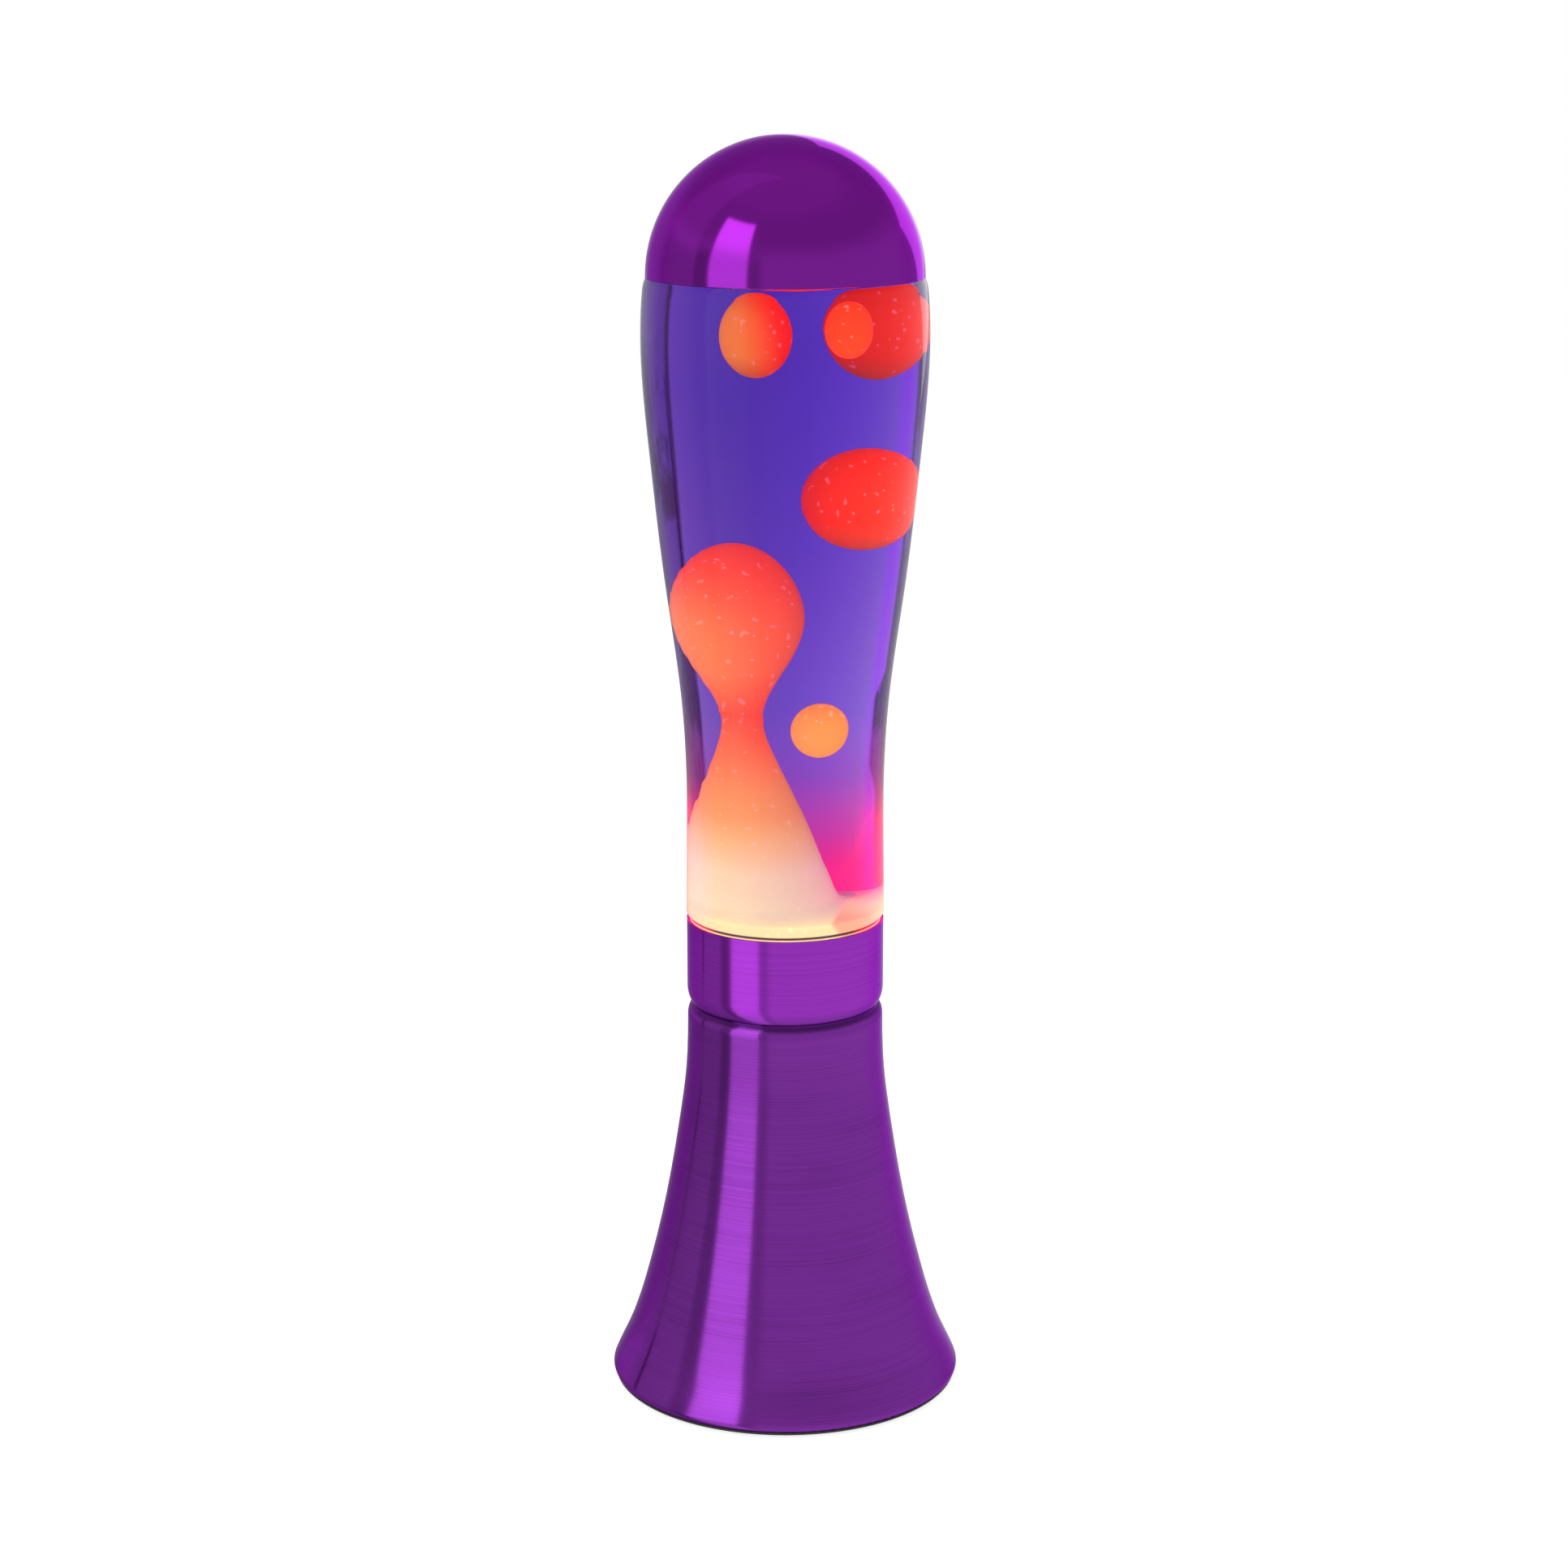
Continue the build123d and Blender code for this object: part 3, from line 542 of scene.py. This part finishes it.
def reflector_glass(name):
    """A reflector bulb: silvered inside up to the front's edge, and a frosted front lit warm from within."""

    def paint(place):
        x, y, z = parts(place)
        frost = noise(place, 700.0, 3.0, 0.6)
        bloom = noise(place, 60.0, 3.0, 0.5)
        front = z.between(99 * MM, 103 * MM)
        warmth = z.between(97 * MM, 118 * MM) * (0.75 + bloom * 0.5)
        return {
            "Base Color": front.blend((0.86, 0.85, 0.84), (0.90, 0.84, 0.74)),
            "Metallic": 1 - front,
            "Roughness": 0.16 + front * 0.34 + frost * 0.08,
            "Emission Color": warmth.blend((0.02, 0.008, 0.002), (0.95, 0.52, 0.22)),
            "Normal": bumped(frost, 0.10, 0.05 * MM),
        }

    return material(name, paint, Emission_Strength=1.1)


def stem_glass(name):
    """Clear glass with fine seeds."""

    def paint(place):
        seeds = noise(place, 500.0, 2.0, 0.5)
        return {
            "Base Color": seeds.blend((0.82, 0.86, 0.86), (0.95, 0.97, 0.96)),
            "Normal": bumped(seeds, 0.08, 0.05 * MM),
        }

    return material(name, paint, Transmission_Weight=0.9, IOR=1.5, Roughness=0.08)


def hot_wire(name):
    """Glowing wire, hotter in places."""

    def paint(place):
        turns = noise(place, 1500.0, 2.0, 0.5)
        return {
            "Base Color": turns.blend((0.25, 0.22, 0.20), (0.40, 0.36, 0.33)),
            "Emission Color": turns.blend((1.0, 0.42, 0.10), (1.0, 0.62, 0.26)),
        }

    return material(name, paint, Metallic=1.0, Roughness=0.5, Emission_Strength=14.0)


def dress(node, made):
    """Puts a finish on a CAD node that keeps its shape."""
    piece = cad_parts[node]
    if piece.material_slots:
        piece.material_slots[0].material = made
    else:
        piece.data.materials.append(made)


# ---- bottle and liquid ----
def inside_of_bottle(reach):
    """The inner side from the glass floor to the shoulder, reaching that much into the glass."""
    floor = FLOOR_OF_GLASS / MM - reach
    side = [(r - WALL / MM + reach, z) for r, z in BOTTLE_SIDE]
    waist = side[0][0]
    return join(
        straight((0, floor), (waist - 3, floor), 4),
        bend((waist - 3, floor), (1, 0), (waist, floor + 3)),
        straight((waist, floor + 3), side[0], 4),
        smooth(side, (0, 1), (-0.1, 1), 22),
        bend(side[-1], (-0.1, 1), (UNDER_LEDGE[0] + reach, UNDER_LEDGE[1] + reach)),
    )


def clear_bottle():
    """The bottle, turned: its foot, side, shoulder, neck and lip, then back down the bore and the inner
    side."""
    foot, floor, mouth = FOOT_RADIUS, BOTTLE_FOOT / MM, MOUTH / MM
    side_foot = BOTTLE_SIDE[0][0]
    lip_round = 1.0
    outside = join(
        smooth([(0, floor + 1.6), (13, floor + 1.1), (foot - 6, floor)], (1, 0), (1, -0.13)),
        straight((foot - 6, floor), (foot - 3, floor)),
        bend((foot - 3, floor), (1, 0), (foot, floor + 3)),
        straight((foot, floor + 3), (foot, SEAT), 3),
        bend((foot, SEAT), (0, 1), (foot + 0.55, SEAT + 0.7), 4),
        bend((foot + 0.55, SEAT + 0.7), (1, 0.6), (side_foot, SEAT + 1.4), 4),
        straight((side_foot, SEAT + 1.4), BOTTLE_SIDE[0]),
        smooth(BOTTLE_SIDE, (0, 1), (-0.1, 1), 22),
        bend(BOTTLE_SIDE[-1], (-0.1, 1), LEDGE),
        straight(LEDGE, LEDGE_END),
        smooth([LEDGE_END, (29, 379.5), (NECK_RADIUS, NECK_FOOT)], (-1, 0.15), (0, 1)),
        straight((NECK_RADIUS, NECK_FOOT), (NECK_RADIUS, NECK_TOP), 2),
        straight((NECK_RADIUS, NECK_TOP), (LIP_RADIUS, NECK_TOP + 1)),
        straight((LIP_RADIUS, NECK_TOP + 1), (LIP_RADIUS, LIP_EDGE)),
        bend((LIP_RADIUS, LIP_EDGE), (0, 1), (LIP_RADIUS - lip_round, mouth)),
        straight((LIP_RADIUS - lip_round, mouth), (BORE_RADIUS + lip_round, mouth)),
        bend((BORE_RADIUS + lip_round, mouth), (-1, 0), (BORE_RADIUS, mouth - lip_round)),
        straight((BORE_RADIUS, mouth - lip_round), (BORE_RADIUS, BORE_FOOT), 4),
        smooth([(BORE_RADIUS, BORE_FOOT), UNDER_SHOULDER, UNDER_LEDGE], (0, -1), (1, -0.15)),
    )
    rows = turned(join(outside, inside_of_bottle(0)[::-1]) * MM)
    rows = waved(rows, low=COLLAR_TOP + 2 * MM, high=DOME_RIM - 6 * MM, depth=0.014 * MM, seed=11)
    piece = skin("clear_bottle", rows, "bottle", ["glass_bottle"], crease=60)
    piece.data.materials.append(clear_glass("moulded_clear_glass"))


def violet_filling():
    """The liquid, turned: the inner side, the underside of the shoulder and the level in the neck."""
    side = inside_of_bottle(OVERLAP / MM)
    level = LIQUID_LEVEL / MM
    shoulder = (UNDER_SHOULDER[0], UNDER_SHOULDER[1] + OVERLAP / MM)
    outline = join(
        side,
        smooth([tuple(side[-1]), shoulder, (14.5, level - 0.4)], (-1, 0.15), (-1, 0.9)),
        bend((14.5, level - 0.4), (-0.4, 1), (13.6, level), 4),
        straight((13.6, level), (0, level), 4),
    )
    piece = skin("violet_filling", turned(outline * MM), "bottle", ["liquid"], crease=60)
    piece.data.materials.append(violet_liquid("violet_liquid"))


# ---- wax ----
COLUMN_X, COLUMN_Y, COLUMN_LEAN = -7.5, 3.0, math.radians(-2.3)
STALK = [(26, 156), (14.4, 193), (7.2, 219), (5.0, 234), (9.8, 247.5), (16, 269), (0, 291.5)]
SHORE_ROWS = 12  # across the pool's surface, from its edge to the stalk
COLUMN_GLOW = [
    (0.00, (0.42, 0.370, 0.180)), (0.040, (0.43, 0.375, 0.190)), (0.075, (0.54, 0.49, 0.225)),
    (0.16, (0.62, 0.50, 0.215)), (0.205, (0.66, 0.44, 0.155)), (0.25, (0.69, 0.39, 0.105)),
    (0.305, (0.73, 0.30, 0.062)), (0.37, (0.78, 0.275, 0.052)), (0.49, (0.90, 0.185, 0.034)),
    (0.56, (0.93, 0.115, 0.024)), (0.62, (0.89, 0.185, 0.033)), (0.68, (0.83, 0.23, 0.040)),
    (0.80, (0.78, 0.17, 0.033)), (0.92, (0.89, 0.082, 0.020)), (1.0, (0.98, 0.055, 0.020)),
]
POOL_GLOW = (0.43, 0.215, 0.125)


def rising_wax():
    """Circles from the glass floor up: the pool's follow the wall, the stalk's are centred on a leaning
    line, and between them the circle's centre and radius pass evenly from one to the other across the
    pool's surface."""
    level = POOL_LEVEL / MM
    wall = inside_of_bottle(CONTACT / MM)
    wall = wall[wall[:, 1] < level - 1.2]
    wall = np.vstack([wall, bend(wall[-1], (0, 1), (wall[-1][0] - 0.7, level))])
    stalk = smooth(STALK, (-0.6, 1), (-1, 0), 30)
    stalk = stalk[stalk[:, 1] > level + 1.5]
    pool_rows = turned(wall * MM)
    stalk_rows = turned(stalk * MM)
    x, y, z = stalk_rows[..., 0], stalk_rows[..., 1], stalk_rows[..., 2] - POOL_LEVEL
    c, s = math.cos(COLUMN_LEAN), math.sin(COLUMN_LEAN)
    leaning = [x * c + z * s + COLUMN_X * MM, y + COLUMN_Y * MM, z * c - x * s + POOL_LEVEL]
    stalk_rows = np.stack(leaning, axis=-1)
    t = np.linspace(0, 1, SHORE_ROWS + 2)[1:-1, None, None]
    shore = pool_rows[-1] + t * (stalk_rows[0] - pool_rows[-1])
    shore[..., 2] = POOL_LEVEL + (stalk_rows[0, :, 2] - POOL_LEVEL) * t[..., 0] ** 4
    reach = np.hypot(shore[..., 0], shore[..., 1])
    shore[..., :2] *= np.minimum(1, (wall[-1][0] * MM) / reach)[..., None]
    rows = np.concatenate([pool_rows, shore, stalk_rows])
    rows = pimpled(
        rows, count=46, height=0.22 * MM, width=0.9 * MM, seed=5,
        low=POOL_LEVEL + 8 * MM, high=POOL_LEVEL + 105 * MM,
    )
    piece = skin("rising_wax", rows, "bottle", ["wax_column"], crease=60)
    piece.data.materials.append(glowing_wax(
        # side is the colour of the painted shade on the column's flank facing lean.
        "pool_wax", COLUMN_GLOW, low=160 * MM, high=292 * MM, lean=(0.8, -0.1, 0.1), side=(1.0, 0.06, 0.02),
        share=0.55, turns_from=205 * MM, strength=2.3, shore=POOL_GLOW,
    ))


# The share of an egg's height that lies below its widest circle, where it is not half.
BELOW_SHARE = {"wax_blob_upper_left": 0.504, "wax_blob_upper_right": 0.587, "wax_top": 0.567}
DROP_ROWS, DROP_TURNS = 97, 144  # points up a drop's side and round it
RED = (1.0, 0.034, 0.004)
# Painted shade: the redder colour of a red drop's flank turned away from the window.
RED_SHADED_FLANK = (1.0, 0.012, 0.003)
ORANGE = (0.84, 0.25, 0.018)
AMBER = (0.66, 0.25, 0.045)
# Painted shade: the amber drop's flank turned away from the window.
AMBER_SHADED_FLANK = (0.72, 0.18, 0.03)
DUSK = (0.50, 0.070, 0.015)  # the underside, turned away from the others' light


def drop_of_wax(node, body, stops, lean, side, share, wobble, seed, pimples):
    """An egg in its CAD box: at polar angle p and turn a, (r cos p cos a, r cos p sin a, h sin p), where h
    is the height above the widest circle for p > 0 and below it for p < 0, and r swells by
    wobble cos(2 a + phase)."""
    low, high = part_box(node)
    centre = (np.array(low) + np.array(high)) / 2
    radius = (high[0] - low[0]) / 2
    below = (high[2] - low[2]) * BELOW_SHARE.get(node, 0.5)
    widest = low[2] + below
    above = high[2] - widest
    p = np.linspace(-math.pi / 2, math.pi / 2, DROP_ROWS)[:, None]
    a = np.linspace(0, 2 * math.pi, DROP_TURNS, endpoint=False)[None]
    rng = np.random.default_rng(seed)
    swell = 1 + wobble * np.cos(2 * a + rng.uniform(0, 6)) * np.cos(p) ** 2 - wobble
    r = radius * np.cos(p) * swell
    z = widest + np.where(p > 0, above, below) * np.sin(p) + 0 * a
    rows = np.stack([centre[0] + r * np.cos(a), centre[1] + r * np.sin(a), z], axis=-1)
    rows = pimpled(
        rows, pimples, height=0.14 * MM, width=0.8 * MM, seed=seed,
        low=low[2] + 2 * MM, high=high[2] - 2 * MM,
    )
    piece = skin(node.replace("wax_", "soft_"), rows, body, [node], crease=80)
    finish = node.replace("wax_", "") + "_wax"
    piece.data.materials.append(glowing_wax(finish, stops, low[2], high[2], lean, side, share))


def floating_wax():
    """The free drops, and the strip of wax under the dome's rim, which stays with the bottle."""
    orange_drop = [(0.0, (0.55, 0.13, 0.012)), (0.25, ORANGE), (0.8, ORANGE), (1.0, (0.9, 0.12, 0.012))]
    red_drop = [(0.0, DUSK), (0.30, RED), (1.0, RED)]
    near_drop = [(0.0, (0.85, 0.058, 0.004)), (0.4, (0.95, 0.046, 0.003)), (1.0, (0.95, 0.038, 0.003))]
    amber_drop = [(0.0, AMBER), (0.6, AMBER), (1.0, (0.70, 0.21, 0.035))]
    red_strip = [(0.0, RED), (1.0, RED)]
    drops = [  # node, body, glow, lean, side, share, wobble, seed, pimples
        ("wax_blob_upper_left", "blob_upper_left", orange_drop, (0.95, 0, 0.25), RED_SHADED_FLANK, 1.0, 0.02, 3, 7),
        ("wax_blob_upper_right", "blob_upper_right", red_drop, (0.4, 0.1, 0.2), RED_SHADED_FLANK, 0.7, 0.03, 4, 9),
        ("wax_blob_upper_small", "blob_upper_small", near_drop, (0.4, 0.1, 0.2), RED_SHADED_FLANK, 0.4, 0.02, 6, 3),
        ("wax_blob_middle", "blob_middle", red_drop, (0.4, 0.1, 0.3), RED_SHADED_FLANK, 0.6, 0.03, 8, 14),
        ("wax_blob_lower", "blob_lower", amber_drop, (0.5, 0, 0.3), AMBER_SHADED_FLANK, 0.6, 0.02, 9, 4),
        ("wax_top", "bottle", red_strip, (0.4, 0.1, 0.3), RED_SHADED_FLANK, 0.5, 0.02, 10, 2),
    ]
    for drop in drops:
        drop_of_wax(*drop)


# ---- camera, light and floor ----
def hide_from(piece, *rays):
    for ray in rays:
        setattr(piece, "visible_" + ray, False)


def staged(name, corners, made):
    """A four-sided sheet that belongs to the studio."""
    mesh = bpy.data.meshes.new(name)
    mesh.from_pydata(corners, [], [(0, 1, 2, 3)])
    mesh.materials.append(made)
    piece = placed(name, mesh)
    return piece


def camera():
    """Set at the front, a little above the middle of the lamp, looking slightly down."""
    down = 13.59  # degrees
    lens = bpy.data.cameras.new("camera")
    lens.sensor_width = 36.0
    lens.lens = 75.0
    made = placed("camera", lens)
    made.location = (-0.0004, -1.056, 0.463)
    made.rotation_euler = (math.radians(90 - down), 0, 0)
    bpy.context.scene.camera = made


def studio():
    """White surroundings for the camera. Reflections see a dim room with a tall window at the front left,
    and light through the glass comes from a pale room, white behind the lamp."""
    world = bpy.data.worlds.new("studio")
    bpy.context.scene.world = world
    world.use_nodes = True
    tree = world.node_tree
    direction = Wire(tree).node("ShaderNodeTexCoord", output="Generated")
    x, y, z = parts(direction)
    # Degrees from the front, negative to the left, and degrees above the horizon.
    turn = x.maths("ARCTAN2", x, y * -1) * (180 / math.pi)
    rise = z.maths("ARCSINE") * (180 / math.pi)
    behind = turn.maths("ABSOLUTE").between(110, 150)
    through = (0.72 + 0.22 * behind) * (1.04 - 0.30 * x.between(-0.25, 0.30))

    # The room dims with height, brightens near the ceiling and the floor, and is dark low down at the left.
    room = 0.50 - 0.14 * rise.between(15, 32) + 0.05 * rise.between(45, 65) + 0.08 * rise.between(-9, -14)
    room = room - 0.26 * turn.between(-64, -72) * rise.between(-5, -13)
    left_wall = turn.band(-132, -118, -86, -78)
    room = room - 0.10 * left_wall * rise.band(-13, -5, 10, 20) + 0.08 * left_wall * rise.between(14, 22)
    pier = turn.band(-84, -78, -69, -66) * rise.between(24, 14)
    beside_window = turn.band(-31, -29, -24, -16) * rise.between(30, 10)
    room = room * (1 - 0.45 * pier) * (1 - 0.30 * beside_window)
    window = turn.band(-67, -64, -33, -30) * rise.between(46, 43)
    pane = 0.84 + 0.46 * rise.between(-15, 0) + 0.60 * rise.between(14, 30)
    room = room + (pane - room) * window

    path = Wire(tree).node("ShaderNodeLightPath")
    camera_ray, through_ray = path.outputs("Is Camera Ray", "Is Transmission Ray")
    level = room + (through - room) * through_ray
    level = level + (1.0 - level) * camera_ray
    # A violet light at the left rear, which shows only through the right-hand edge of the glass.
    gleam = turn.band(-152, -143, -100, -90) * through_ray
    colour = gleam.blend((1, 1, 1), (0.92, 0.30, 1.0))
    background = tree.nodes["Background"]
    tree.links.new((level * (1 + 0.35 * gleam)).socket, background.inputs["Strength"])
    tree.links.new(colour.socket, background.inputs["Color"])


def floor():
    """A plain pale floor, a hair under the feet."""
    half, down = 3.0, -0.3 * MM
    corners = [(-half, -half, down), (half, -half, down), (half, half, down), (-half, half, down)]
    pale = material(
        "floor", Base_Color=(0.5, 0.5, 0.5), Roughness=0.9, Emission_Color=(1, 1, 1), Emission_Strength=0.80
    )
    hide_from(staged("floor", corners, pale), "glossy", "transmission")


def overhead_light():
    """A large soft light above, not seen in reflections."""
    lamp = bpy.data.lights.new("overhead", "AREA")
    lamp.shape = "SQUARE"
    lamp.size = 1.6
    lamp.energy = 9.0
    made = placed("overhead", lamp)
    made.location = (0, -0.2, 1.5)
    hide_from(made, "glossy", "camera", "transmission")


def side_card():
    """A white card behind and to the right, level with the dome, which is seen only in reflections."""
    brightness = 0.88
    lamp = bpy.data.lights.new("side_card", "AREA")
    lamp.shape = "RECTANGLE"
    lamp.size = 0.508
    lamp.size_y = 0.371
    lamp.energy = brightness * math.pi * lamp.size * lamp.size_y
    made = placed("side_card", lamp)
    made.location = (0.247, 0.485, 0.5235)
    made.rotation_euler = Vector((-0.455, -0.890, 0.0)).to_track_quat("-Z", "Z").to_euler()
    hide_from(made, "camera", "transmission")


def dark_pole():
    """A dark pole at the left, as high as the base, which is seen only in its reflections."""
    half_width, foot, top = 0.011, 0.001, 0.27
    place = np.array([-0.474, 0.159])
    across = np.array([0.317, 0.948]) * half_width
    (x0, y0), (x1, y1) = place - across, place + across
    corners = [(x0, y0, foot), (x1, y1, foot), (x1, y1, top), (x0, y0, top)]
    cloth = material("dark_cloth", Base_Color=(0.004, 0.004, 0.004), Roughness=1.0, Specular_IOR_Level=0.0)
    hide_from(staged("dark_pole", corners, cloth), "camera", "diffuse", "transmission", "shadow")


camera()
studio()
floor()
overhead_light()
side_card()
dark_pole()
clear_bottle()
violet_filling()
rising_wax()
floating_wax()

dress("base_shell", lacquered_purple(
    "brushed_purple", up_the_lamp, base_tints, polish=0.15, brushing=1.0, lacquer=0.22
))
dress("dome_cap", lacquered_purple(
    "polished_purple", over_the_dome, dome_tints, polish=0.09, brushing=0.15, lacquer=0.18
))

# The inner pieces: a name, the tint, the tint where worn or dulled, the roughness, the grain or line scale.
black = moulded("black_moulding", (0.016, 0.016, 0.018), (0.055, 0.053, 0.055), 0.52, 1500.0)
board = moulded("black_closing_board", (0.020, 0.019, 0.020), (0.075, 0.070, 0.068), 0.66, 520.0)
soft = moulded("foot_rubber", (0.020, 0.020, 0.020), (0.10, 0.10, 0.098), 0.78, 900.0, Sheen_Weight=0.15)
cream = moulded("cream_moulding", (0.74, 0.71, 0.63), (0.62, 0.57, 0.47), 0.36, 1300.0)
liner = moulded("white_liner", (0.80, 0.79, 0.75), (0.70, 0.66, 0.58), 0.45, 1000.0)
glaze = moulded("dark_glaze", (0.030, 0.024, 0.026), (0.09, 0.07, 0.07), 0.22, 700.0)
zinc = plated("zinc_plate", (0.62, 0.63, 0.62), (0.40, 0.40, 0.38), 0.30)
steel = plated("bright_steel", (0.66, 0.65, 0.63), (0.42, 0.40, 0.38), 0.24, 1500)
brass = plated("yellow_brass", (0.83, 0.58, 0.24), (0.46, 0.29, 0.11), 0.24)
nickel = plated("bulb_cap_nickel", (0.72, 0.70, 0.66), (0.50, 0.46, 0.40), 0.22, 500)
solder = plated("tin_solder", (0.66, 0.66, 0.66), (0.38, 0.38, 0.38), 0.38, 300)
tinned = plated("tinned_plate", (0.80, 0.74, 0.56), (0.60, 0.52, 0.34), 0.20, 700)
wire = plated("drawn_wire", (0.44, 0.42, 0.40), (0.24, 0.22, 0.21), 0.34, 2000)
finishes = {
    black: ("cable_grommet", "cap_liner"),
    board: ("base_plate",),
    soft: ("rubber_feet",),
    cream: ("holder_body",),
    liner: ("crown_seal",),
    glaze: ("bulb_insulator",),
    zinc: ("skirt_lugs", "base_plate_screws", "holder_bracket", "holder_bracket_screws", "holder_nipple"),
    steel: ("heat_ring",),
    brass: ("holder_nut", "holder_terminal_screws", "holder_thread_shell", "holder_centre_contact"),
    nickel: ("bulb_cap",),
    solder: ("bulb_contact",),
    tinned: ("crown_cap",),
    wire: ("bulb_lead_wires",),
    reflector_glass("reflector_glass"): ("bulb_glass",),
    stem_glass("stem_glass"): ("bulb_stem",),
    hot_wire("hot_filament"): ("bulb_filament",),
}
for finish, nodes in finishes.items():
    for node in nodes:
        dress(node, finish)

bpy.context.scene.view_settings.view_transform = "Standard"
